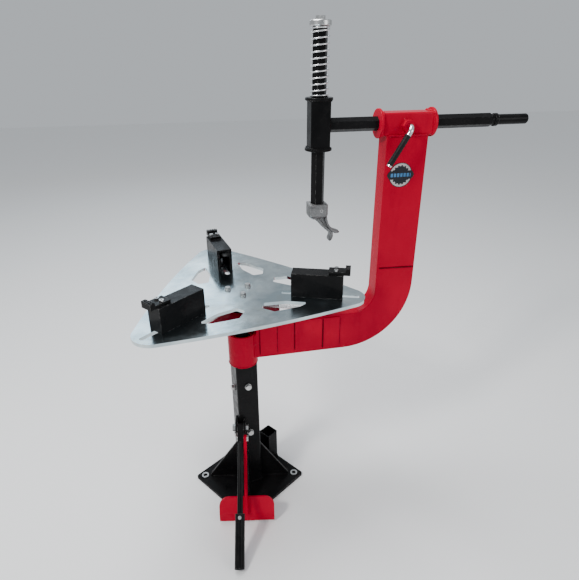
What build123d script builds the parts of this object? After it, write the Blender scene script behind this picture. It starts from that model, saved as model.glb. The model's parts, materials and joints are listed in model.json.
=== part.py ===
from build123d import *
import os
from math import atan2, cos, degrees, radians, sin, sqrt

os.makedirs("parts", exist_ok=True)

# Frame: millimetres, +Z up, +X along the arm towards the column, origin on the table's turning
# axis at the underside of the base plate.

# ---- driving dimensions -------------------------------------------------------------------
GAP = 0.3                 # clearance between pieces that move against each other
PIN_GAP = 0.08            # radial running clearance of a pin or bearing

PLATE_SIDE = 230.0        # square base plate, standing as a diamond
PLATE_T = 8.0
BASE_TURN = 35.0          # direction of one plate edge's normal, degrees from +X
DIAGONAL = BASE_TURN - 45  # direction of one plate corner
ANCHOR_PCD = 270.0
ANCHOR_R = 6.0
PLATE_CORNER_R = 8.0

POST_SIDE = 60.0
POST_WALL = 4.0
POST_TURN = 11.0          # the post's faces are turned from the arm by this angle
POST_TOP = 424.0
POST_BOLTS = (            # direction of a face, and the heights of the bolts in it
    (POST_TURN - 90, (200.0, 358.0)),
    (POST_TURN - 180, (180.0, 344.0)),
)

GUSSET_T = 6.0
GUSSET_REACH = 118.0
GUSSET_TOP = 138.0
GUSSET_NOSE = 6.0

STUB_SIDE = 40.0
STUB_WALL = 3.0
STUB_TOP = 108.0
STUB_SHIFT = 12.0         # along the plate edge, towards the back corner

SPIGOT_R = 25.4
SPIGOT_BORE_R = 21.0
SPIGOT_Z = (180.0, 500.0)
SOCKET_R = 38.0
SOCKET_WALL = 4.5
SOCKET_Z = (424.0, 515.0)

ARM_W = 50.0
ARM_T = 4.0
ARM_BOTTOM = 443.0
ARM_TOP = 547.0
COLUMN_X = (352.0, 454.0)
OUTER_BEND = 182.0
INNER_BEND = 60.0
DOUBLERS_X = ((44.0, 88.0), (137.0, 258.0))
DOUBLER_T = 3.0
EDGE_R = 2.0              # rounding along the arm's outer edges

BAR_Z = 1022.0            # axis of the cross bar
HEX_AF = 28.0             # across flats of both sliding bars
HEX_CLEAR = 0.3           # per flat, in the guide discs
HEAD_SIDE = 50.0
HEAD_WALL = 4.0
HEAD_X = (335.0, 471.0)
HEAD_DISC_R = 33.0
DISC_T = 6.0

TOOL_X = 197.0            # axis of the upright tool bar
TUBE_SIDE = 45.0
TUBE_Z = (968.0, 1081.0)
TUBE_DISC_R = 31.0
SPRING_TOP = 1218.0
SPRING_R = 18.8
SPRING_WIRE_R = 2.0
SPRING_TURNS = 11
TOOL_BAR_BOTTOM = 824.0
CAP_R = 23.0
CAP_T = 11.0
DUCK_Z = (814.0, 845.0)
DUCK_W = 30.0

BAR_END_X = 622.0
HANDLE_END_X = 719.0
HANDLE_R = 12.0

CRANK_X = 398.0
CRANK_Z = 1019.0
CRANK_R = 6.0
CRANK_OUT = 58.0          # the crank arm's distance in front of the arm's mid plane
CRANK_TILT = 31.0         # from straight down, towards the tool bar
CRANK_LENGTH = 98.0
GRIP_R = 7.2
GRIP_START = 20.0

TABLE_Z = (626.0, 634.0)
TABLE_TURN = -20.0        # direction of the first table corner
CORNER_DIST = 264.0       # centre of each corner's round
CORNER_R = 48.0
SIDE_BOW = 12.0           # how far the table's sides bow outwards
SLOT_R = (105.0, 300.0)
SLOT_W = 12.0
HUB_R = 42.0
HUB_Z = (575.0, 626.0)
NECK_R = 25.0
FLANGE_R = 100.0          # the disc under the table that keeps the springs off the arm
FLANGE_T = 6.0
SHAFT_R = 10.0
SHAFT_BOTTOM = 330.0
BEARING_Z = (345.0, 478.0)
BEARING_T = 12.0

CLAMP_R = (133.0, 258.0)
CLAMP_W = 40.0
CLAMP_H = 60.0
CLAMP_T = 5.0
JAW_R = (222.0, 274.0)
HOOK_Z = 596.0            # height of the clamp springs' axes
HUB_HOOK_R = 36.0
CLAMP_HOOK_R = 173.0

LEVER_SIDE = -13.0        # the lever's plane, beside the front diagonal
PIVOT_R = 54.0
PIVOT_Z = 240.0
LEVER_END_R = 308.0
LEVER_END_Z = 8.6
LEVER_BAR_R = 7.5
LEVER_BLOCK = 16.0
PIN_R = 5.0
LINK_AT = 30.0            # link pin's distance from the lever's pivot
TUBE_START = 217.0
LEVER_TUBE_R = 12.5
LEVER_TUBE_BORE = 8.0

LINK_T = 8.0
LINK_FOOT_W = 12.0
SHOE_W = 150.0
SHOE_T = 6.0
SHOE_BOTTOM = (163.0, PLATE_T + GAP)
SHOE_FOLD = (161.0, 34.0)
SHOE_TOP = (146.0, 78.0)
SHOE_CORNER_R = 26.0


# ---- helpers ------------------------------------------------------------------------------
def save(name, *solids):
    shape = solids[0] if len(solids) == 1 else Compound(children=list(solids))
    export_step(shape, f"parts/{name}.step")


def box(x, y, z):
    """A box between the two values of each pair."""
    size = [pair[1] - pair[0] for pair in (x, y, z)]
    centre = [(pair[0] + pair[1]) / 2 for pair in (x, y, z)]
    return Pos(*centre) * Box(*size)


def rod(radius, start, end):
    """A round rod between two points."""
    start, end = Vector(*start), Vector(*end)
    plane = Plane(origin=start, z_dir=end - start)
    return extrude(plane * Circle(radius), (end - start).length)


def ring(outer, inner, z):
    return rod(outer, (0, 0, z[0]), (0, 0, z[1])) - rod(inner, (0, 0, z[0] - 1), (0, 0, z[1] + 1))


def square_tube(side, wall, length, corner):
    """A square tube along +Z from the origin."""
    outline = RectangleRounded(side, side, corner)
    hollow = RectangleRounded(side - 2 * wall, side - 2 * wall, max(corner - wall, 1.0))
    return extrude(outline - hollow, length)


def hex_bar(across_flats, length):
    """A hexagonal bar along +Z from the origin, with flats facing +Y and -Y."""
    return extrude(RegularPolygon(across_flats / sqrt(3), 6), length)


def turned(angle, shape):
    return Rot(0, 0, angle) * shape


def along_x(shape, x, z):
    """Lay a shape that is built along +Z onto +X, starting at (x, 0, z)."""
    return Pos(x, 0, z) * Rot(0, 90, 0) * shape


def plate_xz(points, y):
    """A plate with an outline of straight lines in the XZ plane, between two y values."""
    outline = Plane.XZ * make_face(Polyline(*points, close=True))
    return Pos(0, y[1], 0) * extrude(outline, y[1] - y[0])


def coil(mean_r, wire_r, turns, length):
    """A round-wire coil along +Z from the origin."""
    path = Helix(length / turns, length, mean_r)
    section = Plane(path @ 0, z_dir=path % 0) * Circle(wire_r)
    return sweep(section, path=path, is_frenet=True)


def hex_bolt(shank_r, across_flats, head, washer_r, washer_t, length):
    """A bolt along -Z: washer on z 0, head above it, shank below."""
    washer = ring(washer_r, shank_r + 0.3, (0, washer_t))
    hexagon = Pos(0, 0, washer_t) * hex_bar(across_flats, head)
    crown = rod(across_flats * 0.56, (0, 0, washer_t), (0, 0, washer_t + head))
    crown = chamfer(crown.edges().sort_by(Axis.Z)[-1], 1.2)
    shank = rod(shank_r, (0, 0, -length), (0, 0, washer_t))
    return washer, (hexagon & crown) + shank


# ---- base ---------------------------------------------------------------------------------
def post_body():
    solid = extrude(RectangleRounded(POST_SIDE, POST_SIDE, 6), POST_TOP - PLATE_T)
    return turned(POST_TURN, Pos(0, 0, PLATE_T) * solid)


def make_base():
    plate = extrude(RectangleRounded(PLATE_SIDE, PLATE_SIDE, PLATE_CORNER_R), PLATE_T)
    plate = chamfer(plate.edges().group_by(Axis.Z)[-1], 1)
    plate = turned(BASE_TURN, plate)
    washers = []
    for k in range(4):
        angle = DIAGONAL + 90 * k
        hole = Pos(ANCHOR_PCD / 2, 0, 0) * rod(ANCHOR_R, (0, 0, -1), (0, 0, PLATE_T + 1))
        plate -= turned(angle, hole)
        washer = ring(10.5, ANCHOR_R + 0.2, (PLATE_T, PLATE_T + 2.5))
        washers.append(turned(angle, Pos(ANCHOR_PCD / 2, 0, 0) * washer))
    save("base_plate", plate)
    save("anchor_washers", *washers)

    gussets = []
    profile = [
        (20, PLATE_T),
        (GUSSET_REACH, PLATE_T),
        (GUSSET_REACH, PLATE_T + GUSSET_NOSE),
        (POST_SIDE / 2 + 4, GUSSET_TOP),
        (20, GUSSET_TOP),
    ]
    for k in range(4):
        rib = turned(DIAGONAL + 90 * k, plate_xz(profile, (-GUSSET_T / 2, GUSSET_T / 2)))
        gussets.append(rib - post_body())
    save("base_gussets", *gussets)

    stub = Pos(PLATE_SIDE / 2 - STUB_SIDE / 2, STUB_SHIFT, PLATE_T)
    save("tool_socket", turned(BASE_TURN, stub * square_tube(STUB_SIDE, STUB_WALL, STUB_TOP - PLATE_T, 4)))


def make_post():
    post = turned(POST_TURN, Pos(0, 0, PLATE_T) * square_tube(POST_SIDE, POST_WALL, POST_TOP - PLATE_T, 6))
    bolts = []
    reach = POST_SIDE / 2 - SPIGOT_R - 0.1
    for angle, heights in POST_BOLTS:
        for z in heights:
            seat = Rot(0, 0, angle) * Pos(POST_SIDE / 2, 0, z) * Rot(0, 90, 0)
            post -= seat * rod(5.2, (0, 0, -POST_WALL - 3), (0, 0, 1))
            bolts += [seat * piece for piece in hex_bolt(5, 15, 6.5, 9, 1.8, reach)]
    save("base_post", post)
    save("post_clamp_bolts", *bolts)


# ---- arm ----------------------------------------------------------------------------------
def arm_outline(inset_out, inset_in, start_x, end_z):
    """The arm's side view, moved inwards from its outer and inner edges."""
    low = ARM_BOTTOM + inset_out
    high = ARM_TOP - inset_in
    far = COLUMN_X[1] - inset_out
    near = COLUMN_X[0] + inset_in
    outer_c = (COLUMN_X[1] - OUTER_BEND, ARM_BOTTOM + OUTER_BEND)
    inner_c = (COLUMN_X[0] - INNER_BEND, ARM_TOP + INNER_BEND)
    outer = OUTER_BEND - inset_out
    inner = INNER_BEND + inset_in
    diagonal = sqrt(0.5)
    lines = [
        Line((start_x, low), (outer_c[0], low)),
        ThreePointArc((outer_c[0], low), (outer_c[0] + outer * diagonal, outer_c[1] - outer * diagonal),
                      (far, outer_c[1])),
        Line((far, outer_c[1]), (far, end_z)),
        Line((far, end_z), (near, end_z)),
        Line((near, end_z), (near, inner_c[1])),
        ThreePointArc((near, inner_c[1]), (inner_c[0] + inner * diagonal, inner_c[1] - inner * diagonal),
                      (inner_c[0], high)),
        Line((inner_c[0], high), (start_x, high)),
        Line((start_x, high), (start_x, low)),
    ]
    return Plane.XZ * make_face(lines)


def arm_slab(face, y):
    return Pos(0, y[1], 0) * extrude(face, y[1] - y[0])


def make_arm():
    half = ARM_W / 2
    head_bottom = BAR_Z - HEAD_SIDE / 2
    socket_cut = rod(SOCKET_R, (0, 0, ARM_BOTTOM - 5), (0, 0, SOCKET_Z[1]))
    full = arm_outline(0, 0, 20, head_bottom)
    for name, y in (("arm_side_near", (-half, ARM_T - half)), ("arm_side_far", (half - ARM_T, half))):
        slab = arm_slab(full, y)
        outer_face = slab.faces().sort_by(Axis.Y)[0 if y[0] < 0 else -1]
        slab = fillet(outer_face.edges().filter_by(lambda edge: edge.center().X > 40), EDGE_R)
        save(name, slab - socket_cut - box((0, 34), (-half, half), (SOCKET_Z[1], ARM_TOP + 1)))

    inside = (ARM_T - half, half - ARM_T)
    outer_strip = arm_slab(arm_outline(0, 0, 20, head_bottom), inside)
    outer_strip -= arm_slab(arm_outline(ARM_T, -20, 0, head_bottom + 20), (-half, half))
    save("arm_outer_strip", outer_strip - socket_cut)
    inner_strip = arm_slab(arm_outline(0, 0, 34, head_bottom), inside)
    inner_strip -= arm_slab(arm_outline(-20, ARM_T, 0, head_bottom + 20), (-half, half))
    turned_down = box((34, 34 + ARM_T), inside, (SOCKET_Z[1] + 1, ARM_TOP - ARM_T / 2))
    save("arm_inner_strip", inner_strip + turned_down)

    doublers = []
    for side in (-1, 1):
        for x in DOUBLERS_X:
            y = sorted((side * half, side * (half + DOUBLER_T)))
            plate = box(x, y, (ARM_BOTTOM + 9, ARM_TOP - 5))
            doublers.append(plate)
    save("arm_doublers", *doublers)

    save("arm_spigot", ring(SPIGOT_R, SPIGOT_BORE_R, SPIGOT_Z))
    socket = ring(SOCKET_R, SOCKET_R - SOCKET_WALL, SOCKET_Z)
    for z in (SOCKET_Z[0], 484.0):
        socket += ring(SOCKET_R - SOCKET_WALL + 0.5, SPIGOT_R, (z, z + 6))
    save("arm_socket", socket)

    bearings = []
    for z in BEARING_Z:
        top = z + BEARING_T
        bearings.append(ring(SPIGOT_BORE_R, 17.5, (z, top)))
        bearings.append(ring(13.5, SHAFT_R + PIN_GAP, (z, top)))
        for k in range(9):
            centre = turned(40 * k, Pos(15.5, 0, z + BEARING_T / 2) * Sphere(1.95))
            bearings.append(centre)
    save("spindle_bearings", *bearings)


def make_head():
    guide_x = (HEAD_X[0] + DISC_T, HEAD_X[1] - DISC_T)
    sleeve = along_x(square_tube(HEAD_SIDE, HEAD_WALL, guide_x[1] - guide_x[0], 4), guide_x[0], BAR_Z)
    wall_y = HEAD_WALL + 2 - HEAD_SIDE / 2
    screw_hole = rod(CRANK_R + GAP, (CRANK_X, -60, CRANK_Z), (CRANK_X, wall_y, CRANK_Z))
    save("head_sleeve", sleeve - screw_hole)
    discs = []
    for x in (HEAD_X[0], guide_x[1]):
        disc = extrude(Circle(HEAD_DISC_R), DISC_T)
        disc = fillet(disc.edges(), 1.5)
        disc -= Pos(0, 0, -1) * hex_bar(HEX_AF + 2 * HEX_CLEAR, DISC_T + 2)
        discs.append(along_x(disc, x, BAR_Z))
    save("head_guide_discs", *discs)

    boss = Pos(CRANK_X, -HEAD_SIDE / 2, CRANK_Z) * Rot(90, 0, 0) * hex_bar(24, 13)
    save("crank_nut", boss - screw_hole)
    badge_x = (COLUMN_X[0] + COLUMN_X[1]) / 2 - 10
    face = -ARM_W / 2
    badge = rod(31, (badge_x, face, 907), (badge_x, face - 1.2, 907))
    save("column_badge", badge)


# ---- turntable ----------------------------------------------------------------------------
def make_table():
    edge = CORNER_DIST * cos(radians(60)) + CORNER_R
    outline = []
    for k in range(3):
        here = Vector(CORNER_DIST, 0).rotate(Axis.Z, 120 * k)
        following = Vector(CORNER_DIST, 0).rotate(Axis.Z, 120 * k + 120)
        normal = Vector(1, 0).rotate(Axis.Z, 120 * k + 60)
        outward = Vector(1, 0).rotate(Axis.Z, 120 * k + 120)
        next_normal = Vector(1, 0).rotate(Axis.Z, 120 * k + 180)
        side_end = following + normal * CORNER_R
        corner_end = following + next_normal * CORNER_R
        outline.append(ThreePointArc(here + normal * CORNER_R, normal * (edge + SIDE_BOW), side_end))
        outline.append(ThreePointArc(side_end, following + outward * CORNER_R, corner_end))
    face = make_face(outline)
    # One lightening hole, as distances out from the centre and along the side; the other mirrors it.
    kite = [(90, 34), (112, 20), (140, 42), (140, 106), (128, 132), (100, 84)]
    for k in range(3):
        slot_length = SLOT_R[1] - SLOT_R[0]
        face -= Rot(0, 0, 120 * k) * Pos(sum(SLOT_R) / 2, 0) * SlotOverall(slot_length, SLOT_W)
        for mirror_side in (-1, 1):
            points = [(n, mirror_side * t) for n, t in kite]
            hole = make_face(Polyline(*points, close=True))
            hole = fillet(hole.vertices(), 5)
            face -= Rot(0, 0, 120 * k + 60) * hole
        face -= Rot(0, 0, 120 * k + 60) * Pos(HUB_R - 12, 0) * Circle(4.1)
    plate = Pos(0, 0, TABLE_Z[0]) * extrude(face, TABLE_Z[1] - TABLE_Z[0])
    save("table_plate", turned(TABLE_TURN, plate))

    hub = rod(HUB_R, (0, 0, HUB_Z[1] - 10), (0, 0, HUB_Z[1]))
    hub += rod(NECK_R, (0, 0, HUB_Z[0]), (0, 0, HUB_Z[1]))
    hub += rod(17, (0, 0, 493), (0, 0, HUB_Z[0]))
    hub -= rod(SHAFT_R, (0, 0, 480), (0, 0, HUB_Z[1] - 6))
    bolts = []
    for k in range(3):
        at = turned(TABLE_TURN + 120 * k + 60, Pos(HUB_R - 12, 0, 0))
        hub -= turned(TABLE_TURN + 120 * k + 60, Pos(HUB_R - 12, 0, 0) * rod(4.1, (0, 0, 600), (0, 0, 630)))
        for piece in hex_bolt(4, 13, 5.5, 8, 1.6, 17):
            bolts.append(turned(TABLE_TURN + 120 * k + 60, Pos(HUB_R - 12, 0, TABLE_Z[1]) * piece))
        hook = rod(3, (NECK_R - 1, 0, HOOK_Z), (HUB_HOOK_R + 3, 0, HOOK_Z))
        hub += turned(TABLE_TURN + 120 * k, hook)
    save("table_hub", hub)
    flange = ring(FLANGE_R, NECK_R, (HUB_Z[0], HUB_Z[0] + FLANGE_T))
    save("table_flange", fillet(flange.edges().filter_by(GeomType.CIRCLE).sort_by(SortBy.RADIUS)[-2:], 2))
    save("table_bolts", *bolts)
    save("spindle_shaft", rod(SHAFT_R, (0, 0, SHAFT_BOTTOM), (0, 0, HUB_Z[1] - 6)))


def make_clamps():
    z0 = TABLE_Z[1] + GAP
    top = z0 + CLAMP_H
    half = CLAMP_W / 2
    for k in range(3):
        angle = TABLE_TURN - 120 * k
        body = box(CLAMP_R, (-half, half), (z0, top))
        inside = (CLAMP_T - half, half - CLAMP_T)
        body -= box((CLAMP_R[0] - 1, CLAMP_R[1] - CLAMP_T), inside, (z0 - 1, top - CLAMP_T))
        body += box((CLAMP_R[0] + 25, CLAMP_R[0] + 90), inside, (z0, z0 + CLAMP_T))
        body -= rod(5.2, (CLAMP_HOOK_R, 0, z0 - 1), (CLAMP_HOOK_R, 0, z0 + 10))
        save(f"clamp_body_{k + 1}", turned(angle, body))

        jaw = box(JAW_R, (-15, 15), (top, top + 8))
        jaw += box((JAW_R[1] - 12, JAW_R[1]), (-15, 15), (top + 8, top + 15))
        for notch in range(-2, 3):
            tooth = box((JAW_R[1] - 14, JAW_R[1] + 2), (-1.5, 1.5), (-3, 3))
            jaw -= Pos(0, notch * 6.5, top + 16) * tooth
        screws = []
        for y in (-8, 8):
            seat = Pos(JAW_R[0] + 18, y, top + 8)
            jaw -= seat * rod(3.1, (0, 0, -9), (0, 0, 1))
            head = rod(5, (0, 0, 0), (0, 0, 4)) - Pos(0, 0, 2) * hex_bar(4, 3)
            screws.append(turned(angle, seat * (head + rod(3, (0, 0, -8), (0, 0, 0)))))
        save(f"clamp_jaw_{k + 1}", turned(angle, jaw))
        save(f"clamp_screws_{k + 1}", *screws)

        under = TABLE_Z[0] - GAP
        stud = rod(5, (CLAMP_HOOK_R, 0, HOOK_Z - 6), (CLAMP_HOOK_R, 0, z0 + 22))
        guide = box((CLAMP_HOOK_R - 17, CLAMP_HOOK_R + 17), (-15, 15), (under - 8, under)) + stud
        guide += Pos(CLAMP_HOOK_R, 0, z0 + CLAMP_T) * hex_bar(17, 8)
        save(f"clamp_guide_{k + 1}", turned(angle, guide))

        length = CLAMP_HOOK_R - HUB_HOOK_R - 18
        lay = Pos(HUB_HOOK_R + 9, 0, HOOK_Z) * Rot(0, 90, 0)
        spring = rod(6, (0, 0, 0), (0, 0, length)) - rod(4, (0, 0, -1), (0, 0, length + 1))
        save(f"clamp_spring_{k + 1}", turned(angle, lay * spring))


# ---- cross bar and tool bar ---------------------------------------------------------------
def make_cross_bar():
    start = TOOL_X + TUBE_SIDE / 2
    bar = hex_bar(HEX_AF, BAR_END_X - start)
    crown = rod(HEX_AF * 0.565, (0, 0, 0), (0, 0, BAR_END_X - start))
    crown = chamfer(crown.edges().sort_by(Axis.Z)[-1], 3)
    save("cross_bar", along_x(bar & crown, start, BAR_Z))

    handle = rod(HANDLE_R, (0, 0, 0), (0, 0, HANDLE_END_X - BAR_END_X))
    handle = fillet(handle.edges().sort_by(Axis.Z)[-1], 4)
    save("bar_handle", along_x(handle, BAR_END_X, BAR_Z))
    save("handle_collar", along_x(ring(15, HANDLE_R + 0.02, (8, 15)), BAR_END_X, BAR_Z))

    z = (TUBE_Z[0] + DISC_T, TUBE_Z[1] - DISC_T)
    tube = Pos(TOOL_X, 0, z[0]) * square_tube(TUBE_SIDE, 4, z[1] - z[0], 4)
    save("tool_sleeve", tube)
    discs = []
    for low in (TUBE_Z[0], z[1]):
        disc = fillet(extrude(Circle(TUBE_DISC_R), DISC_T).edges(), 1.5)
        disc -= Pos(0, 0, -1) * hex_bar(HEX_AF + 2 * HEX_CLEAR, DISC_T + 2)
        discs.append(Pos(TOOL_X, 0, low) * disc)
    save("tool_guide_discs", *discs)


def make_tool_bar():
    bar = Pos(TOOL_X, 0, TOOL_BAR_BOTTOM) * hex_bar(HEX_AF, SPRING_TOP - TOOL_BAR_BOTTOM)
    save("tool_bar", bar)
    lift = coil(SPRING_R, SPRING_WIRE_R, SPRING_TURNS, SPRING_TOP - TUBE_Z[1] - 2 * SPRING_WIRE_R)
    save("lift_spring", Pos(TOOL_X, 0, TUBE_Z[1] + SPRING_WIRE_R) * lift)
    cap = extrude(Circle(CAP_R), CAP_T)
    cap = chamfer(cap.edges(), 1.5)
    save("spring_cap", Pos(TOOL_X, 0, SPRING_TOP) * cap)
    head = Pos(TOOL_X, 0, SPRING_TOP + CAP_T) * hex_bar(18, 8)
    save("cap_bolt", head)

    block = box((TOOL_X - 24, TOOL_X + 24), (-22, 22), DUCK_Z)
    block = fillet(block.edges().filter_by(Axis.Z), 8)
    profile = [(-17, 1), (18, 1), (38, -25), (53, -32), (56, -40), (46, -47), (37, -65), (28, -65), (24, -46),
               (9, -27), (-14, -14)]
    beak = plate_xz([(TOOL_X + x, DUCK_Z[0] + z) for x, z in profile], (-DUCK_W / 2, DUCK_W / 2))
    duck = block + beak
    duck -= Pos(TOOL_X, 0, TOOL_BAR_BOTTOM) * hex_bar(HEX_AF + 0.1, 40)
    screw_at = (TOOL_X + 6, DUCK_Z[0] + 16)
    duck -= rod(4.05, (screw_at[0], -30, screw_at[1]), (screw_at[0], -HEX_AF / 2 + 1, screw_at[1]))
    save("duckhead", duck)
    screw = rod(4, (screw_at[0], -20.5, screw_at[1]), (screw_at[0], -HEX_AF / 2 - 0.05, screw_at[1]))
    screw -= Pos(screw_at[0], -20.6, screw_at[1]) * Rot(-90, 0, 0) * hex_bar(4, 3)
    save("duckhead_screw", screw)


def make_crank():
    tilt = radians(CRANK_TILT)
    bend = 13.0

    def down(distance):
        return (CRANK_X - distance * sin(tilt), -CRANK_OUT, CRANK_Z - distance * cos(tilt))

    start = (CRANK_X, -HEX_AF / 2 - GAP, CRANK_Z)
    path = FilletPolyline(start, (CRANK_X, -CRANK_OUT, CRANK_Z), down(CRANK_LENGTH), radius=bend)
    section = Plane(origin=start, z_dir=(0, -1, 0)) * Circle(CRANK_R)
    save("crank_rod", sweep(section, path=path))
    grip = rod(GRIP_R, down(GRIP_START), down(CRANK_LENGTH - 4)) - rod(CRANK_R, down(15), down(CRANK_LENGTH))
    save("crank_grip", grip)


# ---- bead breaker -------------------------------------------------------------------------
def make_breaker():
    slope = atan2(PIVOT_Z - LEVER_END_Z, LEVER_END_R - PIVOT_R)
    length = sqrt((LEVER_END_R - PIVOT_R) ** 2 + (PIVOT_Z - LEVER_END_Z) ** 2)
    front = DIAGONAL - 90
    lever_place = Rot(0, 0, front) * Pos(PIVOT_R, LEVER_SIDE, PIVOT_Z) * Rot(0, degrees(slope), 0)
    half = LEVER_BLOCK / 2

    ears = []
    for inner in (-half - GAP - GUSSET_T, half + GAP):
        y = (LEVER_SIDE + inner, LEVER_SIDE + inner + GUSSET_T)
        ear = box((20, PIVOT_R), y, (PIVOT_Z - 14, PIVOT_Z + 14))
        ear += rod(14, (PIVOT_R, y[0], PIVOT_Z), (PIVOT_R, y[1], PIVOT_Z))
        ear -= rod(PIN_R, (PIVOT_R, y[0] - 1, PIVOT_Z), (PIVOT_R, y[1] + 1, PIVOT_Z))
        ears.append(turned(front, ear) - post_body())
    save("lever_bracket", *ears)
    side = half + GAP + GUSSET_T
    pin = rod(PIN_R, (PIVOT_R, LEVER_SIDE - side - 7, PIVOT_Z), (PIVOT_R, LEVER_SIDE + side, PIVOT_Z))
    pin += Pos(PIVOT_R, LEVER_SIDE + side, PIVOT_Z) * Rot(-90, 0, 0) * hex_bar(17, 6.5)
    pin += Pos(PIVOT_R, LEVER_SIDE - side, PIVOT_Z) * Rot(90, 0, 0) * hex_bar(17, 8)
    save("lever_pivot_bolt", turned(front, pin))

    block = box((-11, LINK_AT + 11), (-half, half), (-11, 11))
    block = fillet(block.edges().filter_by(Axis.Y), 9)
    bar = block + rod(LEVER_BAR_R, (LINK_AT, 0, 0), (length - 16, 0, 0))
    bar -= rod(PIN_R + PIN_GAP, (0, -half - 1, 0), (0, half + 1, 0))
    bar -= rod(PIN_R, (LINK_AT, -half - 1, 0), (LINK_AT, half + 1, 0))
    save("lever_bar", lever_place * bar)
    link_y = (half + GAP, half + GAP + LINK_T)
    link_pin = rod(PIN_R, (LINK_AT, -half, 0), (LINK_AT, link_y[1] + GAP, 0))
    link_pin += rod(9, (LINK_AT, link_y[1] + GAP, 0), (LINK_AT, link_y[1] + GAP + 4, 0))
    link_pin += rod(8, (LINK_AT, -half - 3, 0), (LINK_AT, -half, 0))
    save("link_pin", lever_place * link_pin)

    tube = rod(LEVER_TUBE_R, (TUBE_START, 0, 0), (length - 3, 0, 0))
    tube -= rod(LEVER_TUBE_BORE, (TUBE_START - 1, 0, 0), (length + 1, 0, 0))
    tube -= rod(2.6, (TUBE_START + 9, 0, 0), (TUBE_START + 9, 0, 20))
    save("handle_tube", lever_place * tube)
    knob = rod(2.5, (TUBE_START + 9, 0, LEVER_BAR_R + GAP), (TUBE_START + 9, 0, LEVER_TUBE_R + 0.5))
    knob += rod(4.5, (TUBE_START + 9, 0, LEVER_TUBE_R + 0.1), (TUBE_START + 9, 0, LEVER_TUBE_R + 3))
    save("handle_screw", lever_place * knob)
    end = rod(LEVER_TUBE_R, (length - 3, 0, 0), (length, 0, 0))
    end -= rod(LEVER_TUBE_BORE, (length - 4, 0, 0), (length + 1, 0, 0))
    save("handle_end_ring", lever_place * end)

    top = (PIVOT_R + LINK_AT * cos(slope), PIVOT_Z - LINK_AT * sin(slope))
    fold = Vector(SHOE_TOP[0] - SHOE_FOLD[0], SHOE_TOP[1] - SHOE_FOLD[1]).normalized()
    outward = (fold.Y, -fold.X)
    lift = (SHOE_T + LINK_FOOT_W) / 2 + 0.05
    seat = (SHOE_FOLD[0] + 26 * fold.X + lift * outward[0], SHOE_FOLD[1] + 26 * fold.Y + lift * outward[1])
    foot = (seat[0] - 22 * fold.X, seat[1] - 22 * fold.Y)
    waist = LINK_FOOT_W / 2
    knee = 24.0
    link_side = (LEVER_SIDE + link_y[0], LEVER_SIDE + link_y[1])
    across = Vector(seat[0] - top[0], seat[1] - top[1]).normalized()
    normal = (-across.Y, across.X)
    profile = [
        (top[0] - 8 * normal[0], top[1] - 8 * normal[1]),
        (top[0] + 8 * normal[0], top[1] + 8 * normal[1]),
        (seat[0] + waist * outward[0] + knee * fold.X, seat[1] + waist * outward[1] + knee * fold.Y),
        (foot[0] + waist * outward[0], foot[1] + waist * outward[1]),
        (foot[0] - waist * outward[0], foot[1] - waist * outward[1]),
        (seat[0] - waist * outward[0] + knee * fold.X, seat[1] - waist * outward[1] + knee * fold.Y),
    ]
    link = plate_xz(profile, link_side)
    link += rod(10, (top[0], link_side[0], top[1]), (top[0], link_side[1], top[1]))
    link -= rod(PIN_R + PIN_GAP, (top[0], link_side[0] - 1, top[1]), (top[0], link_side[1] + 1, top[1]))
    save("breaker_link", turned(front, link))

    half_t = SHOE_T / 2
    shoe_profile = [
        (SHOE_BOTTOM[0] - half_t, SHOE_BOTTOM[1]),
        (SHOE_BOTTOM[0] + half_t, SHOE_BOTTOM[1]),
        (SHOE_FOLD[0] + half_t, SHOE_FOLD[1]),
        (SHOE_TOP[0] + half_t * outward[0], SHOE_TOP[1] + half_t * outward[1]),
        (SHOE_TOP[0] - half_t * outward[0], SHOE_TOP[1] - half_t * outward[1]),
        (SHOE_FOLD[0] - half_t, SHOE_FOLD[1]),
    ]
    shoe = plate_xz(shoe_profile, (-SHOE_W / 2, SHOE_W / 2))
    at_top = shoe.edges().filter_by(lambda edge: abs(edge.center().Z - SHOE_TOP[1]) < 2)
    corners = at_top.filter_by(lambda edge: abs(edge.center().Y) > 70)
    shoe = fillet(corners, SHOE_CORNER_R)
    save("breaker_shoe", turned(front, shoe))


make_base()
make_post()
make_arm()
make_head()
make_table()
make_clamps()
make_cross_bar()
make_tool_bar()
make_crank()
make_breaker()
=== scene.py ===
import json
import math
import random

import bpy
from mathutils import Matrix, Vector


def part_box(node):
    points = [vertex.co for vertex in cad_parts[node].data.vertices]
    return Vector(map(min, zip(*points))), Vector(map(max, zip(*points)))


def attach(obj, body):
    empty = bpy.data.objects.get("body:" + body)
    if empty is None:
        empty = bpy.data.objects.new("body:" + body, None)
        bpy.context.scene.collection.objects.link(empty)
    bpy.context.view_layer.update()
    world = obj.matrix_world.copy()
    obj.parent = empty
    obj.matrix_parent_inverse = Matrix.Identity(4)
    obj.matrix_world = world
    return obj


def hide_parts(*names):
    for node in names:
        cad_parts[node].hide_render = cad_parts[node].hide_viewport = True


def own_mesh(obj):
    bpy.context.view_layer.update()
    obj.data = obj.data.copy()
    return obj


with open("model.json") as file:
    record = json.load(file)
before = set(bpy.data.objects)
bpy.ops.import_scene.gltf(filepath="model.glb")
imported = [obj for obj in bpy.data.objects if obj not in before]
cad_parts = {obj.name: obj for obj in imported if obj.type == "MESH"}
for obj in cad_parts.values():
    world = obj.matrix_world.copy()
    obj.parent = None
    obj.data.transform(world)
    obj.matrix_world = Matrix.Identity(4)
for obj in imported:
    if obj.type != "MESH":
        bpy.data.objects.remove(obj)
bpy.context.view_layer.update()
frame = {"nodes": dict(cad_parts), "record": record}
random.seed(11)

MM = 0.001
UP = Vector((0, 0, 1))

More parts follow.
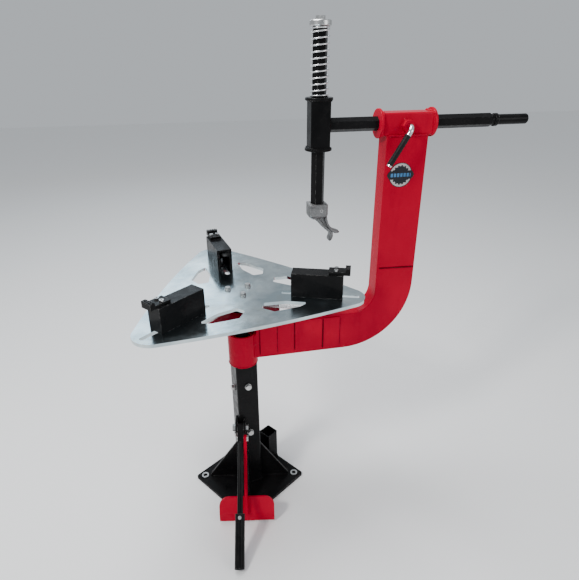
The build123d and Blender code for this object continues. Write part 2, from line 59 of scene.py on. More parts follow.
# ---- places and sizes that the frame doesn't name, in metres and degrees -------------------
POST_TURN = 11.0
BASE_TURN = 35.0
DIAGONAL = -10.0
TABLE_TURN = -20.0
HUB_HOOK_R = 0.036        # the clamp springs' two ends, from the table's axis
CLAMP_HOOK_R = 0.173
HOOK_Z = 0.596
BLOCK_TOP = 31            # height of the duckhead's block over the plane its sections start from, in mm
CRANK_TILT = math.radians(31)
ARM_FACES = (-0.0252, 0.0252)               # just outside the arm's two side faces
GUSSET_REACH = 0.118      # from the post's axis to a gusset's tip
SEAMS_X = (0.044, 0.088, 0.137, 0.258)      # joints between the plates welded along the beam
BEND_SEAM_X = 0.212
COLUMN_SEAM_Z = (0.670, 0.667)              # the seam across the column, at its inner and outer side
LINK_FOOT_Y = (-0.0049, 0.0037)             # the two sides of the link's foot on the shoe
BADGE_BANNER = 0.020      # height of the banner across the round badge
BADGE_BAR = (0.025, 0.0042)                 # half the length and half the height of the row of bars
BADGE_RING = (0.0232, 0.0272)               # inner and outer radius of the toothed ring
BADGE_TEETH = 16.0
BADGE_TOOTH = 0.0024
CAMERA_PLACE = (-0.1016, -1.1033, 1.1640)
CAMERA_TURN = (90 - 25.74, 0.33, -11.92)    # degrees
CAMERA_LENS = 30.28


# ---- materials ----------------------------------------------------------------------------
class Paint:
    """A node material with object coordinates and a few short ways to add nodes."""

    def __init__(self, name, metallic=0.0, coat=0.0, coat_rough=0.05, sheen=0.5):
        self.material = bpy.data.materials.new(name)
        self.material.use_nodes = True
        self.tree = self.material.node_tree
        self.bsdf = self.tree.nodes["Principled BSDF"]
        self.bsdf.inputs["Metallic"].default_value = metallic
        self.bsdf.inputs["Coat Weight"].default_value = coat
        self.bsdf.inputs["Coat Roughness"].default_value = coat_rough
        self.bsdf.inputs["Specular IOR Level"].default_value = sheen
        self.coords = self.tree.nodes.new("ShaderNodeTexCoord").outputs["Object"]

    def node(self, kind, inputs=None, **settings):
        made = self.tree.nodes.new(kind)
        for key, value in settings.items():
            setattr(made, key, value)
        for key, value in (inputs or {}).items():
            self.feed(made.inputs[key], value)
        return made

    def feed(self, socket, value):
        if isinstance(value, bpy.types.NodeSocket):
            self.tree.links.new(value, socket)
        else:
            socket.default_value = value

    def noise(self, scale, detail=4.0, rough=0.55, coords=None):
        inputs = {"Scale": scale, "Detail": detail, "Roughness": rough, "Vector": coords or self.coords}
        return self.node("ShaderNodeTexNoise", inputs).outputs["Fac"]

    def stretched(self, scale):
        made = self.node("ShaderNodeMapping", {"Vector": self.coords, "Scale": scale})
        return made.outputs["Vector"]

    def spread(self, value, low, high, to_low=0.0, to_high=1.0):
        inputs = {"Value": value, "From Min": low, "From Max": high, "To Min": to_low, "To Max": to_high}
        return self.node("ShaderNodeMapRange", inputs).outputs["Result"]

    def math(self, operation, a, b=0.0):
        made = self.node("ShaderNodeMath", {0: a, 1: b}, operation=operation)
        return made.outputs["Value"]

    def mix(self, share, a, b):
        made = self.node("ShaderNodeMix", data_type="RGBA")
        self.feed(made.inputs["Factor"], share)
        self.feed(made.inputs["A"], a)
        self.feed(made.inputs["B"], b)
        return made.outputs["Result"]

    def edges(self, radius, low=0.02, high=0.22):
        """Near 1 along sharp edges, where paint wears through, and where the red paint also gets a painted
        highlight.
        """
        soft = self.node("ShaderNodeBevel", {"Radius": radius}, samples=4).outputs["Normal"]
        hard = self.node("ShaderNodeNewGeometry").outputs["Normal"]
        likeness = self.node("ShaderNodeVectorMath", {0: soft, 1: hard}, operation="DOT_PRODUCT")
        return self.spread(self.math("SUBTRACT", 1.0, likeness.outputs["Value"]), low, high)

    def bump(self, parts):
        """Stack (height, strength, distance) layers of bump, the broadest first."""
        normal = None
        for height, strength, distance in parts:
            inputs = {"Height": height, "Strength": strength, "Distance": distance}
            made = self.node("ShaderNodeBump", inputs)
            if normal is not None:
                self.feed(made.inputs["Normal"], normal)
            normal = made.outputs["Normal"]
        self.feed(self.bsdf.inputs["Normal"], normal)

    def finish(self, colour, rough):
        self.feed(self.bsdf.inputs["Base Color"], colour)
        self.feed(self.bsdf.inputs["Roughness"], rough)
        return self.material


def rgb(red, green, blue):
    return (red, green, blue, 1.0)


def red_paint(name="red_gloss_paint", lift=1.0):
    """Thick gloss paint over welded steel: orange peel, slightly uneven, rubbed at its edges, which are also
    painted a lighter pink as a painted highlight.
    """
    p = Paint(name, coat=0.06, coat_rough=0.04, sheen=0.03)
    cloud = p.spread(p.noise(5.0, 3), 0.35, 0.68)
    deep, bright = rgb(0.40 * lift, 0.0, 0.020 * lift), rgb(0.48 * lift, 0.0, 0.025 * lift)
    colour = p.mix(cloud, deep, bright)
    runs = p.spread(p.noise(26.0, 5, 0.6, p.stretched((1.0, 1.0, 0.25))), 0.52, 0.74)
    colour = p.mix(p.math("MULTIPLY", runs, 0.35), colour, rgb(0.24 * lift, 0.0, 0.013 * lift))
    # Lighter pink along the edges: partly rubbed paint, partly a painted highlight.
    edge_marks = p.math("MULTIPLY", p.edges(0.0012), p.spread(p.noise(160.0, 6, 0.7), 0.5, 0.66))
    colour = p.mix(p.math("MULTIPLY", edge_marks, 0.45), colour, rgb(0.75, 0.10, 0.13))
    rough = p.spread(p.noise(38.0, 6, 0.65), 0.3, 0.75, 0.16, 0.36)
    p.bump([
        (p.noise(48.0, 3), 0.10, 0.0015),
        (p.noise(620.0, 2), 0.05, 0.0003),
    ])
    return p.finish(colour, rough)


def black_paint(name="black_gloss_paint", lift=1.0):
    """Gloss black over rolled steel, with dust, scuffs and bright rubbed edges."""
    p = Paint(name, coat=0.04, coat_rough=0.06, sheen=0.07)
    cloud = p.spread(p.noise(9.0, 5, 0.6), 0.35, 0.7)
    dark, light = 0.0032 * lift, 0.0095 * lift
    colour = p.mix(cloud, rgb(dark, dark, dark * 1.1), rgb(light, light * 0.96, light))
    dust = p.spread(p.noise(70.0, 8, 0.72), 0.56, 0.78)
    colour = p.mix(p.math("MULTIPLY", dust, 0.22), colour, rgb(0.055, 0.050, 0.047))
    edge_marks = p.math("MULTIPLY", p.edges(0.0011), p.spread(p.noise(120.0, 6, 0.7), 0.47, 0.60))
    colour = p.mix(p.math("MULTIPLY", edge_marks, 0.75), colour, rgb(0.42, 0.41, 0.40))
    rough = p.spread(p.noise(45.0, 7, 0.7), 0.3, 0.75, 0.20, 0.46)
    p.bump([
        (p.noise(60.0, 4), 0.10, 0.0012),
        (p.noise(520.0, 3), 0.06, 0.0003),
    ])
    return p.finish(colour, rough)


def zinc_plate():
    """Bright zinc on rolled plate: bluish, faint cloudy patches, fine rolling lines and smudges."""
    p = Paint("bright_zinc_plate", metallic=1.0)
    cloud = p.spread(p.noise(9.0, 5, 0.6), 0.36, 0.64)
    colour = p.mix(cloud, rgb(0.70, 0.78, 0.80), rgb(0.40, 0.49, 0.53))
    stain = p.spread(p.noise(15.0, 4, 0.55), 0.55, 0.75)
    colour = p.mix(p.math("MULTIPLY", stain, 0.35), colour, rgb(0.42, 0.41, 0.35))
    lines = p.noise(30.0, 4, 0.6, p.stretched((1.0, 46.0, 1.0)))
    rough = p.spread(p.noise(17.0, 5, 0.6), 0.3, 0.75, 0.10, 0.24)
    rough = p.math("ADD", rough, p.spread(lines, 0.4, 0.8, 0.0, 0.05))
    p.bump([
        (p.noise(14.0, 3), 0.10, 0.0020),
        (lines, 0.05, 0.0003),
    ])
    return p.finish(colour, rough)


def zinc_hardware():
    """Plated fasteners: soft grey shine with a trace of yellow and dirt in the hollows."""
    p = Paint("zinc_plated_fasteners", metallic=1.0)
    cloud = p.spread(p.noise(90.0, 4), 0.35, 0.7)
    colour = p.mix(cloud, rgb(0.62, 0.62, 0.61), rgb(0.40, 0.40, 0.40))
    stain = p.spread(p.noise(210.0, 6, 0.7), 0.58, 0.76)
    colour = p.mix(p.math("MULTIPLY", stain, 0.5), colour, rgb(0.20, 0.18, 0.15))
    rough = p.spread(p.noise(260.0, 5, 0.7), 0.3, 0.7, 0.22, 0.42)
    p.bump([(p.noise(700.0, 4), 0.10, 0.0003)])
    return p.finish(colour, rough)


def spring_wire():
    """Bright drawn wire with fine lines round the wire and light oil patches."""
    p = Paint("bright_spring_wire", metallic=1.0)
    patch = p.spread(p.noise(120.0, 5, 0.6), 0.4, 0.72)
    colour = p.mix(patch, rgb(0.80, 0.80, 0.80), rgb(0.60, 0.60, 0.61))
    rough = p.spread(p.noise(420.0, 4), 0.3, 0.7, 0.16, 0.34)
    p.bump([(p.noise(900.0, 3), 0.12, 0.0002)])
    return p.finish(colour, rough)


def ground_steel():
    """Machined steel: turning marks and a thin film of grease."""
    p = Paint("ground_machined_steel", metallic=1.0)
    rings = p.noise(26.0, 3, 0.5, p.stretched((1.0, 1.0, 60.0)))
    colour = p.mix(p.spread(rings, 0.35, 0.7), rgb(0.56, 0.56, 0.57), rgb(0.42, 0.42, 0.42))
    grease = p.spread(p.noise(55.0, 5), 0.55, 0.72)
    colour = p.mix(p.math("MULTIPLY", grease, 0.5), colour, rgb(0.20, 0.17, 0.12))
    rough = p.spread(p.noise(180.0, 4), 0.3, 0.7, 0.18, 0.36)
    p.bump([(rings, 0.08, 0.0002)])
    return p.finish(colour, rough)


def cast_steel():
    """A cast and blasted head: grainy grey, darker in its pores, brighter along rubbed edges."""
    p = Paint("blasted_cast_steel", metallic=0.85)
    grain = p.noise(330.0, 7, 0.72)
    colour = p.mix(p.spread(grain, 0.32, 0.68), rgb(0.14, 0.14, 0.145), rgb(0.30, 0.30, 0.30))
    patch = p.spread(p.noise(42.0, 5, 0.6), 0.42, 0.7)
    colour = p.mix(p.math("MULTIPLY", patch, 0.4), colour, rgb(0.09, 0.088, 0.085))
    edge_marks = p.math("MULTIPLY", p.edges(0.0015), p.spread(p.noise(200.0, 5), 0.42, 0.6))
    colour = p.mix(p.math("MULTIPLY", edge_marks, 0.7), colour, rgb(0.55, 0.55, 0.54))
    rough = p.spread(p.noise(150.0, 6, 0.7), 0.3, 0.72, 0.34, 0.62)
    p.bump([(p.noise(90.0, 4), 0.22, 0.0012), (grain, 0.35, 0.0005)])
    return p.finish(colour, rough)


def chrome():
    """Chrome on a bent rod, with fine haze and a few water marks."""
    p = Paint("bright_chrome", metallic=1.0)
    haze = p.spread(p.noise(75.0, 6, 0.65), 0.4, 0.75)
    colour = p.mix(haze, rgb(0.80, 0.81, 0.83), rgb(0.62, 0.63, 0.65))
    rough = p.spread(p.noise(110.0, 6, 0.7), 0.35, 0.75, 0.05, 0.20)
    p.bump([(p.noise(240.0, 3), 0.03, 0.0003)])
    return p.finish(colour, rough)


def rubber_grip():
    """Moulded black rubber: matt, finely pebbled, greyer where hands rub it."""
    p = Paint("moulded_rubber_grip", sheen=0.2)
    rub = p.spread(p.noise(60.0, 5, 0.6), 0.42, 0.72)
    colour = p.mix(rub, rgb(0.005, 0.005, 0.0055), rgb(0.013, 0.0125, 0.0125))
    pebble = p.node("ShaderNodeTexVoronoi", {"Vector": p.coords, "Scale": 900.0}).outputs["Distance"]
    rough = p.spread(p.noise(90.0, 5), 0.3, 0.7, 0.42, 0.62)
    p.bump([(pebble, 0.25, 0.0003)])
    return p.finish(colour, rough)


def badge_print():
    """A plain printed badge: a light toothed ring on black, crossed by a banner with blue bars."""
    p = Paint("plain_gear_badge", coat=0.3, coat_rough=0.08, sheen=0.3)
    low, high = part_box("column_badge")
    centre = (low + high) / 2
    offset = p.node("ShaderNodeVectorMath", {0: p.coords, 1: centre}, operation="SUBTRACT")
    split = p.node("ShaderNodeSeparateXYZ", {"Vector": offset.outputs["Vector"]}).outputs
    across, upward = split["X"], split["Z"]
    square = p.math("ADD", p.math("MULTIPLY", across, across), p.math("MULTIPLY", upward, upward))
    radius = p.math("SQRT", square)
    angle = p.math("ARCTAN2", upward, across)
    teeth = p.math("GREATER_THAN", p.math("SINE", p.math("MULTIPLY", angle, BADGE_TEETH)), 0.0)
    inner = p.math("ADD", p.math("MULTIPLY", teeth, -BADGE_TOOTH), BADGE_RING[0])
    outside = p.math("GREATER_THAN", radius, inner)
    ring = p.math("MULTIPLY", outside, p.math("LESS_THAN", radius, BADGE_RING[1]))
    height = p.math("ABSOLUTE", upward)
    banner = p.math("LESS_THAN", height, BADGE_BANNER / 2)
    in_row = p.math("LESS_THAN", p.math("ABSOLUTE", across), BADGE_BAR[0])
    bars = p.math("MULTIPLY", p.math("LESS_THAN", height, BADGE_BAR[1]), in_row)
    gaps = p.math("GREATER_THAN", p.math("SINE", p.math("MULTIPLY", across, 780.0)), -0.55)
    grain = p.noise(400.0, 5, 0.7)
    base = p.mix(p.spread(grain, 0.3, 0.7), rgb(0.004, 0.005, 0.008), rgb(0.010, 0.012, 0.018))
    colour = p.mix(ring, base, rgb(0.45, 0.42, 0.42))
    colour = p.mix(banner, colour, base)
    colour = p.mix(p.math("MULTIPLY", bars, gaps), colour, rgb(0.05, 0.20, 0.42))
    rough = p.spread(grain, 0.3, 0.7, 0.22, 0.36)
    p.bump([(p.noise(300.0, 3), 0.04, 0.0003)])
    return p.finish(colour, rough)


# The red darkened to about a fifth: painted shade for the gaps along the seams between the plates.
SEAM_SHADE_RED = red_paint("red_paint_seam_shade", 0.22)
SLOT_MATERIALS = {
    "red_paint": red_paint(),
    "black_paint": black_paint(),
    "zinc_plate": zinc_plate(),
    "zinc_hardware": zinc_hardware(),
    "spring_steel": spring_wire(),
    "bearing_steel": ground_steel(),
    "dark_steel": black_paint("satin_black_hub", 1.6),
    "cast_steel": cast_steel(),
    "chrome": chrome(),
    "rubber_grip": rubber_grip(),
    "badge_dark": badge_print(),
}
NODE_SLOT = {row["node"]: row["material_slot"] for row in frame["record"]["subparts"]}
for node_name, node_object in frame["nodes"].items():
    node_object.data.materials.clear()
    node_object.data.materials.append(SLOT_MATERIALS[NODE_SLOT[node_name]])


# ---- mesh helpers -------------------------------------------------------------------------
def piece(name, verts, faces, body, slot, replaces=(), smooth=True):
    """A mesh that rides on a body, in a slot's material, and stands for the CAD nodes that it replaces."""
    mesh = bpy.data.meshes.new(name)
    mesh.from_pydata([tuple(v) for v in verts], [], faces)
    mesh.validate()
    obj = bpy.data.objects.new(name, mesh)
    bpy.context.scene.collection.objects.link(obj)
    mesh.materials.append(SLOT_MATERIALS[slot])
    mesh.polygons.foreach_set("use_smooth", [smooth] * len(mesh.polygons))
    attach(obj, body)
    if replaces:
        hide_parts(*replaces)
    return obj


def ring_frames(points, closed=False):
    """Points with a sideways and an upward direction that turn as little as possible."""
    count = len(points)
    frames = []
    side = None
    for i, point in enumerate(points):
        after = points[(i + 1) % count] if closed or i < count - 1 else point
        before = points[i - 1] if closed or i > 0 else point
        ahead = (after - before).normalized()
        if side is None:
            side = ahead.orthogonal().normalized()
        side = (side - ahead * side.dot(ahead)).normalized()
        frames.append((point, side, ahead.cross(side)))
    return frames


def tube(points, radius_at, around=12, closed=False):
    """A tube's vertices and faces along points, with its radius given by index."""
    verts = []
    faces = []
    frames = ring_frames(points, closed)
    for i, (point, side, lift) in enumerate(frames):
        radius = radius_at(i)
        for j in range(around):
            angle = 2 * math.pi * j / around
            verts.append(point + (side * math.cos(angle) + lift * math.sin(angle)) * radius)
    rows = len(points)
    for i in range(rows if closed else rows - 1):
        here = i * around
        there = ((i + 1) % rows) * around
        for j in range(around):
            k = (j + 1) % around
            faces.append((here + j, here + k, there + k, there + j))
    if not closed:
        faces.append(tuple(reversed(range(around))))
        faces.append(tuple((rows - 1) * around + j for j in range(around)))
    return verts, faces


def lathe(profile, origin, axis, around=48):
    """A closed solid of revolution from (distance along the axis, radius) points."""
    axis = axis.normalized()
    side = axis.orthogonal().normalized()
    lift = axis.cross(side)
    verts = []
    faces = []
    for along, radius in profile:
        for j in range(around):
            angle = 2 * math.pi * j / around
            spoke = side * math.cos(angle) + lift * math.sin(angle)
            verts.append(origin + axis * along + spoke * radius)
    rows = len(profile)
    for i in range(rows - 1):
        here, there = i * around, (i + 1) * around
        for j in range(around):
            k = (j + 1) % around
            faces.append((here + j, here + k, there + k, there + j))
    faces.append(tuple(reversed(range(around))))
    faces.append(tuple((rows - 1) * around + j for j in range(around)))
    return verts, faces


def turn(angle, x, y, z):
    """A point given in a frame that is turned about +Z by an angle in degrees."""
    return Matrix.Rotation(math.radians(angle), 3, "Z") @ Vector((x, y, z))


# ---- welds --------------------------------------------------------------------------------
def resample(corners, step, closed):
    """Evenly spaced points along straight runs."""
    ends = corners + corners[:1] if closed else corners
    points = []
    for a, b in zip(ends, ends[1:]):
        count = max(2, round((b - a).length / step))
        points += [a.lerp(b, i / count) for i in range(count)]
    if not closed:
        points.append(ends[-1])
    return points


def weld(name, runs, body, slot, size=0.0022, closed=False):
    """Rippled weld beads along one or more runs, as one piece."""
    verts = []
    faces = []
    pitch = 0.0026
    step = 0.00085
    for corners in runs:
        points = resample(corners, step, closed)
        sway = random.uniform(0, 6)
        radii = []
        for i in range(len(points)):
            ripple = abs(math.sin(math.pi * i * step / pitch))
            slow = 0.12 * math.sin(i * step * 95 + sway)
            end = 1.0 if closed else min(1.0, 0.45 + 0.14 * min(i, len(points) - 1 - i))
            radii.append(size * (0.80 + 0.24 * ripple + slow + random.uniform(-0.05, 0.05)) * end)
        more, quads = tube(points, lambda i: radii[i], 8, closed)
        base = len(verts)
        verts += more
        faces += [tuple(base + v for v in quad) for quad in quads]
    return piece(name, verts, faces, body, slot)


def rounded_square(side, angle, z, corner=0.005, offset=(0.0, 0.0)):
    """Corner points of a square with cut corners, about the post's axis."""
    half = side / 2
    points = []
    for k in range(4):
        for a, b in ((half, half - corner), (half - corner, half)):
            x, y = turn(90 * k, a, b, 0).xy
            points.append(turn(angle, x + offset[0], y + offset[1], z))
    return points


def circle(radius, centre, axis, count=60, start=0.0, sweep=360.0):
    """Points on a circle about an axis, or on an arc of it."""
    side = Vector((0, 1, 0)) if abs(axis.y) < 0.9 else Vector((1, 0, 0))
    lift = axis.cross(side)
    total = count if sweep == 360.0 else count + 1
    points = []
    for i in range(total):
        angle = math.radians(start + sweep * i / count)
        points.append(centre + (side * math.cos(angle) + lift * math.sin(angle)) * radius)
    return points


def weld_base():
    """The post, the gussets and the stub socket on the base plate."""
    plate_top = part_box("base_plate")[1].z
    foot = rounded_square(0.0615, POST_TURN, plate_top + 0.001)
    weld("weld_post_foot", [foot], "frame", "black_paint", 0.0030, True)

    on_plate = plate_top + 0.0008
    on_post = 0.0335
    gusset_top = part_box("base_gussets")[1].z
    runs = []
    for k in range(4):
        angle = DIAGONAL + 90 * k
        for y in (-0.0042, 0.0042):
            runs.append([turn(angle, 0.038, y, on_plate), turn(angle, GUSSET_REACH - 0.006, y, on_plate)])
            low_end = turn(angle, on_post, y, plate_top + 0.010)
            runs.append([low_end, turn(angle, on_post, y, gusset_top - 0.004)])
    weld("weld_gussets", runs, "frame", "black_paint", 0.0026)

    stub_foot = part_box("tool_socket")[0].z + 0.001
    stub = rounded_square(0.0412, BASE_TURN, stub_foot, 0.004, (0.095, 0.012))
    weld("weld_stub_foot", [stub], "frame", "black_paint", 0.0024, True)


def weld_arm():
    """The beam on its round socket, and the socket's lower rim."""
    socket_low, socket_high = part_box("arm_socket")
    beam_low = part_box("arm_outer_strip")[0].z
    start_x = 0.0288
    runs = []
    for y in ARM_FACES:
        runs.append([Vector((start_x, y, beam_low + 0.002)), Vector((start_x, y, socket_high.z - 0.002))])
    weld("weld_arm_to_socket", runs, "frame", "red_paint", 0.0030)
    under = circle(0.0385, Vector((0, 0, beam_low - 0.0005)), UP, 30, -50, 40)
    weld("weld_under_beam", [under], "frame", "red_paint", 0.0026)
    rim = circle(0.0372, Vector((0, 0, socket_low.z + 0.0004)), UP, 72)
    weld("weld_socket_foot", [rim], "frame", "red_paint", 0.0020, True)


def column_sides():
    """Where the column's inner and outer sides are, along X."""
    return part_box("arm_inner_strip")[1].x - 0.004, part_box("arm_outer_strip")[1].x


def bar_height():
    head_low, head_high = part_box("head_sleeve")
    return (head_low.z + head_high.z) / 2


def weld_head():
    """The head on the column, its end discs, and the crank's nut."""
    head_low, head_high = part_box("head_sleeve")
    near_x, far_x = column_sides()
    runs = []
    for y in ARM_FACES:
        runs.append([Vector((near_x + 0.003, y, head_low.z)), Vector((far_x - 0.003, y, head_low.z))])
    for x in (near_x + 0.0005, far_x + 0.0005):
        runs.append([Vector((x, -0.023, head_low.z - 0.0005)), Vector((x, 0.023, head_low.z - 0.0005))])
    weld("weld_column_to_head", runs, "frame", "red_paint", 0.0030)

    rings = []
    for x in (head_low.x, head_high.x):
        square = rounded_square(0.0512, 0, 0, 0.004)
        rings.append([Vector((x, p.x, bar_height() + p.y)) for p in square])
    weld("weld_head_discs", rings, "frame", "red_paint", 0.0026, True)

    nut_low, nut_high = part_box("crank_nut")
    middle = (nut_low + nut_high) / 2
    seat = Vector((middle.x, nut_high.y - 0.0008, middle.z))
    nut = circle(0.0142, seat, Vector((0, 1, 0)), 6)
    weld("weld_crank_nut", [nut], "frame", "red_paint", 0.0020, True)


def weld_slide_bar():
    """The upright sleeve's end discs, and the cross bar on the sleeve."""
    tube_low, tube_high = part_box("tool_sleeve")
    tool_x = (tube_low.x + tube_high.x) / 2
    rings = []
    for z in (tube_low.z, tube_high.z):
        rings.append(rounded_square(0.0462, 0, z, 0.004, (tool_x, 0.0)))
    weld("weld_tool_discs", rings, "slide_bar", "black_paint", 0.0024, True)

    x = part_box("cross_bar")[0].x + 0.0008
    corner_r = 0.0168
    hexagon = []
    for k in range(6):
        angle = math.radians(60 * k)
        hexagon.append(Vector((x, math.sin(angle) * corner_r, bar_height() + math.cos(angle) * corner_r)))
    weld("weld_cross_bar", [hexagon], "slide_bar", "black_paint", 0.0028, True)


def weld_seams():
    """Weld beads along the seams between the plates of the beam and across the column, darkened as painted
    shade of the gaps.
    """
    low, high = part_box("arm_doublers")
    near_x, far_x = column_sides()
    runs = []
    for x in SEAMS_X:
        for y in (low.y + 0.0022, high.y - 0.0022):
            runs.append([Vector((x, y, low.z + 0.003)), Vector((x, y, high.z - 0.003))])
    for y in (low.y - 0.0002, high.y + 0.0002):
        runs.append([Vector((BEND_SEAM_X, y, low.z + 0.001)), Vector((BEND_SEAM_X, y, high.z - 0.001))])
    for y in ARM_FACES:
        near_z, far_z = COLUMN_SEAM_Z
        runs.append([Vector((near_x + 0.006, y, near_z)), Vector((far_x - 0.003, y, far_z))])
    seams = weld("weld_doublers", runs, "frame", "red_paint", 0.0019)
    # The beads take the darkened red: painted shade in the gaps between the plates.
    seams.data.materials[0] = SEAM_SHADE_RED


def weld_shoe():
    """The link's foot on the shoe: across its end and up both its sides. Sizes along the shoe are in mm."""
    along = Vector((-15, 0, 44)).normalized()
    fold = Vector((161, 0, 34)) + Vector((along.z, 0, -along.x)) * 3.6
    near_y, far_y = LINK_FOOT_Y
    foot = []
    for reach, y in ((42, near_y), (5, near_y), (5, far_y), (42, far_y)):
        point = fold + along * reach
        foot.append(turn(DIAGONAL - 90, point.x * MM, y, point.z * MM))
    weld("weld_link_foot", [foot], "breaker_arm", "red_paint", 0.0020)


# ---- springs ------------------------------------------------------------------------------
def lift_spring():
    """An open coil with its end turns closed up flat."""
    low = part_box("tool_guide_discs")[1].z
    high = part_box("spring_cap")[0].z
    axis = (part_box("tool_sleeve")[0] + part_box("tool_sleeve")[1]) / 2
    wire = 0.0018
    mean = 0.0189
    closed_turns = 1.0
    open_turns = 10.0
    steps = 34
    total = closed_turns * 2 + open_turns
    length = high - low - 2 * wire
    closed_rise = 2.05 * wire
    open_rise = (length - 2 * closed_rise * closed_turns) / open_turns
    points = []
    for i in range(round(total * steps) + 1):
        turns = i / steps
        first = min(turns, closed_turns)
        middle = min(max(turns - closed_turns, 0.0), open_turns)
        last = max(turns - closed_turns - open_turns, 0.0)
        z = low + wire + (first + last) * closed_rise + middle * open_rise
        angle = 2 * math.pi * turns
        points.append(Vector((axis.x + mean * math.cos(angle), mean * math.sin(angle), z)))
    verts, faces = tube(points, lambda i: wire, 14)
    coil = piece("lift_spring_coil", verts, faces, "slide_bar", "spring_steel", ["lift_spring"])
    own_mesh(coil)


def clamp_spring(number):
    """A close coil with a hook at each end, under one slot."""
    angle = TABLE_TURN - 120 * (number - 1)
    wire = 0.0009
    mean = 0.0051
    start, end = HUB_HOOK_R + 0.011, CLAMP_HOOK_R - 0.015
    turns = 34
    steps = 16
    points = []
    hook_r = 0.0046
    for i in range(9):
        a = math.radians(250 - 28 * i)
        points.append(Vector((HUB_HOOK_R + hook_r * math.cos(a), hook_r * math.sin(a), 0)))
    for i in range(turns * steps + 1):
        a = 2 * math.pi * i / steps
        along = start + (end - start) * i / (turns * steps)
        points.append(Vector((along, mean * math.cos(a), mean * math.sin(a))))
    hook_r = 0.0064
    for i in range(9):
        a = math.radians(90 - 22.5 * i)
        points.append(Vector((CLAMP_HOOK_R + hook_r * math.cos(a), hook_r * math.sin(a), 0)))
    placed = [turn(angle, p.x, p.y, p.z + HOOK_Z) for p in points]
    verts, faces = tube(placed, lambda i: wire, 8)
    stands_for = [f"clamp_spring_{number}"]
    coil = piece(f"clamp_spring_coil_{number}", verts, faces, "turntable", "spring_steel", stands_for)
    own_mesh(coil)


# ---- crank --------------------------------------------------------------------------------
def crank_grip():
    """A moulded grip with flared ends and finger ribs."""
    rod_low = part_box("crank_rod")[0]
    down = Vector((-math.sin(CRANK_TILT), 0, -math.cos(CRANK_TILT)))
    nut_low, nut_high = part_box("crank_nut")
    pivot = (nut_low + nut_high) / 2
    origin = Vector((pivot.x, rod_low.y + 0.006, pivot.z))
    start, end = 0.020, 0.094
    profile = [(start, 0.0062), (start, 0.0071), (start + 0.0015, 0.0072), (start + 0.004, 0.0070)]
    ribs = 9
    ridge = (end - 0.007 - start - 0.006) / ribs
    for k in range(ribs):
        at = start + 0.006 + ridge * k
        profile += [(at, 0.0065), (at + ridge * 0.30, 0.0070), (at + ridge * 0.70, 0.0070)]
    profile += [(end - 0.005, 0.0068), (end - 0.002, 0.0072), (end, 0.0068), (end, 0.0062)]
    verts, faces = lathe(profile, origin, down, 40)
    piece("ribbed_crank_grip", verts, faces, "lock_crank", "rubber_grip", ["crank_grip"])


# ---- badge --------------------------------------------------------------------------------
def badge():
    """A thin round badge with a raised rim, crossed by a wider banner with pointed ends."""
    low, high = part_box("column_badge")
    centre = (low + high) / 2
    radius = (high.x - low.x) / 2
    thick = high.y - low.y
    profile = [
        (0.0, radius - 0.0024),
        (thick * 0.6, radius - 0.002),
        (thick * 0.8, radius - 0.0026),
        (thick * 0.8, radius - 0.0034),
        (thick * 0.62, radius - 0.0040),
        (thick * 0.62, 0.0005),
    ]
    verts, faces = lathe(profile, Vector((centre.x, high.y, centre.z)), Vector((0, -1, 0)), 96)
    half = BADGE_BANNER / 2
    reach = radius + 0.003
    lower_edge = [(-reach, 0), (-reach + 0.003, -half * 0.62), (-reach + 0.007, -half), (0, -half * 0.94)]
    lower_edge += [(reach - 0.007, -half), (reach - 0.003, -half * 0.62)]
    outline = lower_edge + [(-x, -z) for x, z in lower_edge]
    base = len(verts)
    count = len(outline)
    for y, grow in ((high.y, 1.0), (low.y + 0.0002, 1.0), (low.y, 0.985)):
        verts += [Vector((centre.x + x * grow, y, centre.z + z * grow)) for x, z in outline]
    for ring in range(2):
        for i in range(count):
            j = (i + 1) % count
            a = base + ring * count
            faces.append((a + i, a + j, a + count + j, a + count + i))
    faces.append(tuple(base + 2 * count + i for i in range(count)))
    piece("gear_badge", verts, faces, "frame", "badge_dark", ["column_badge"], smooth=False)


# ---- duckhead -----------------------------------------------------------------------------
def loft(stations, centre_x, base_z, around=40, power=3.2):
    """Boxy rounded sections joined into one skin.

    A station is (x, z, half the thickness, half the width), in mm, and its tilt in degrees.
    """
    verts = []
    faces = []
    for x, z, thick, wide, tilt in stations:
        lean = math.radians(tilt)
        for j in range(around):
            a = 2 * math.pi * j / around
            c, q = math.cos(a), math.sin(a)
            u = thick * math.copysign(abs(c) ** (2 / power), c)
            v = wide * math.copysign(abs(q) ** (2 / power), q)
            px, pz = x + u * math.cos(lean), z + u * math.sin(lean)
            verts.append(Vector((centre_x + px * MM, v * MM, base_z + pz * MM)))
    rows = len(stations)
    for i in range(rows - 1):
        here, there = i * around, (i + 1) * around
        for j in range(around):
            k = (j + 1) % around
            faces.append((here + j, there + j, there + k, here + k))
    faces.append(tuple(range(around)))
    faces.append(tuple(reversed([(rows - 1) * around + j for j in range(around)])))
    return verts, faces


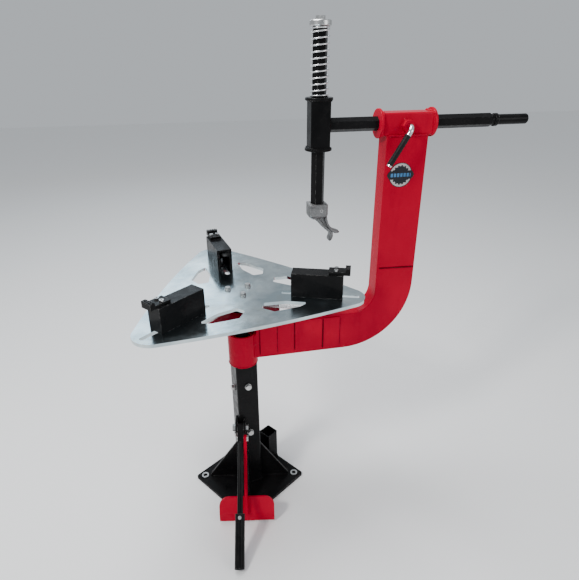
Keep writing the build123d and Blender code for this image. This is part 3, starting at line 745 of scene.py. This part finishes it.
def duckhead():
    """A cast mounting head: a socket block with a ribbed arm that ends in a nose and a hooked foot."""
    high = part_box("duckhead")[1]
    bar_low, bar_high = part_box("tool_bar")
    x0 = (bar_low.x + bar_high.x) / 2
    base = high.z - BLOCK_TOP * MM
    block = [
        (0, BLOCK_TOP - 0.1, 19, 16, 0), (0, 30.6, 21.5, 18, 0), (0, 29, 23.4, 19.3, 0),
        (0, 27, 23.8, 19.6, 0),
        (0, 5, 23.8, 19.6, 0), (0, 2, 23, 19, 0), (1, -1, 21, 17, 3), (3, -4, 16, 14, 8), (5, -5, 9, 9, 8),
    ]
    lip = [
        (-17, 26, 5.5, 21, 0), (-17, 29, 6.2, 21.6, 0), (-17, 30.8, 5.4, 20.6, 0), (-17, BLOCK_TOP, 3, 18, 0),
    ]
    lower_rib = [
        (-8, 1, 5.5, 13, 38), (2, -10, 4.6, 13, 42), (13, -23, 4.0, 12.5, 45), (23, -33, 3.8, 12, 44),
        (31, -40, 4.0, 12.5, 38), (35.5, -46, 4.4, 13, 14), (35.5, -52, 4.4, 13.5, -8),
        (33.5, -58, 4.0, 14, -18), (31.4, -62, 3.4, 13, -22), (30.4, -64.2, 1.8, 11, -24),
    ]
    upper_rib = [
        (19, 1, 4.2, 13, 6), (21, -10, 3.7, 12.5, 12), (24.5, -21, 3.4, 12, 18), (30, -31, 3.6, 12, 34),
        (37.5, -38.5, 4.0, 12.5, 56), (45, -42, 4.2, 12.5, 72), (51, -43, 3.6, 11.5, 82),
        (55, -43.4, 2.0, 9, 86),
    ]
    web = [
        (6, 2, 15, 6.5, 0), (10, -10, 11, 6.5, 18), (17, -21, 8, 6.5, 28), (25, -32, 5.5, 7, 38),
        (34, -42, 4, 8, 44),
    ]
    verts = []
    faces = []
    for part in (block, lip, lower_rib, upper_rib, web):
        more, quads = loft(part, x0, base, power=6 if part in (block, lip) else 3.2)
        start = len(verts)
        verts += more
        faces += [tuple(start + v for v in quad) for quad in quads]
    piece("cast_duckhead", verts, faces, "tool_shaft", "cast_steel", ["duckhead"])


weld_base()
weld_arm()
weld_head()
weld_slide_bar()
weld_seams()
weld_shoe()
lift_spring()
for clamp_number in (1, 2, 3):
    clamp_spring(clamp_number)
crank_grip()
badge()
duckhead()


# ---- stage, light and camera --------------------------------------------------------------
def stage():
    mesh = bpy.data.meshes.new("studio_floor")
    size = 9.0
    corners = [(-size, -size, 0), (size, -size, 0), (size, size, 0), (-size, size, 0)]
    mesh.from_pydata(corners, [], [(0, 1, 2, 3)])
    floor = bpy.data.objects.new("studio_floor", mesh)
    bpy.context.scene.collection.objects.link(floor)
    pale = bpy.data.materials.new("pale_floor")
    pale.use_nodes = True
    shader = pale.node_tree.nodes["Principled BSDF"]
    shader.inputs["Base Color"].default_value = rgb(0.92, 0.92, 0.92)
    shader.inputs["Roughness"].default_value = 0.75
    mesh.materials.append(pale)


def area_light(name, place, target, size, power, colour=(1, 1, 1)):
    data = bpy.data.lights.new(name, "AREA")
    data.shape = "RECTANGLE"
    data.size, data.size_y = size
    data.energy = power
    data.color = colour
    lamp = bpy.data.objects.new(name, data)
    bpy.context.scene.collection.objects.link(lamp)
    lamp.location = place
    lamp.rotation_euler = (Vector(target) - Vector(place)).to_track_quat("-Z", "Y").to_euler()


def lights():
    world = bpy.data.worlds.new("studio")
    bpy.context.scene.world = world
    world.use_nodes = True
    background = world.node_tree.nodes["Background"]
    background.inputs["Color"].default_value = rgb(0.90, 0.95, 1.0)
    background.inputs["Strength"].default_value = 0.55
    area_light("back", (-0.5, 3.4, 2.4), (0.1, 0, 0.7), (1.5, 0.9), 12, (0.72, 0.88, 1.0))
    area_light("top", (-0.3, 0.5, 2.9), (0.1, 0, 0.6), (1.2, 1.2), 60, (0.97, 0.98, 1.0))
    area_light("key", (-1.9, -1.3, 2.6), (0.15, 0, 0.6), (0.45, 0.45), 55, (1.0, 0.98, 0.95))
    area_light("fill", (1.9, -1.8, 1.5), (0.2, 0, 0.6), (1.2, 1.2), 14)


def camera():
    data = bpy.data.cameras.new("photo_camera")
    data.sensor_fit = "HORIZONTAL"
    data.sensor_width = 36.0
    data.lens = CAMERA_LENS
    view = bpy.data.objects.new("photo_camera", data)
    bpy.context.scene.collection.objects.link(view)
    view.location = CAMERA_PLACE
    view.rotation_euler = [math.radians(angle) for angle in CAMERA_TURN]
    bpy.context.scene.camera = view


stage()
lights()
camera()
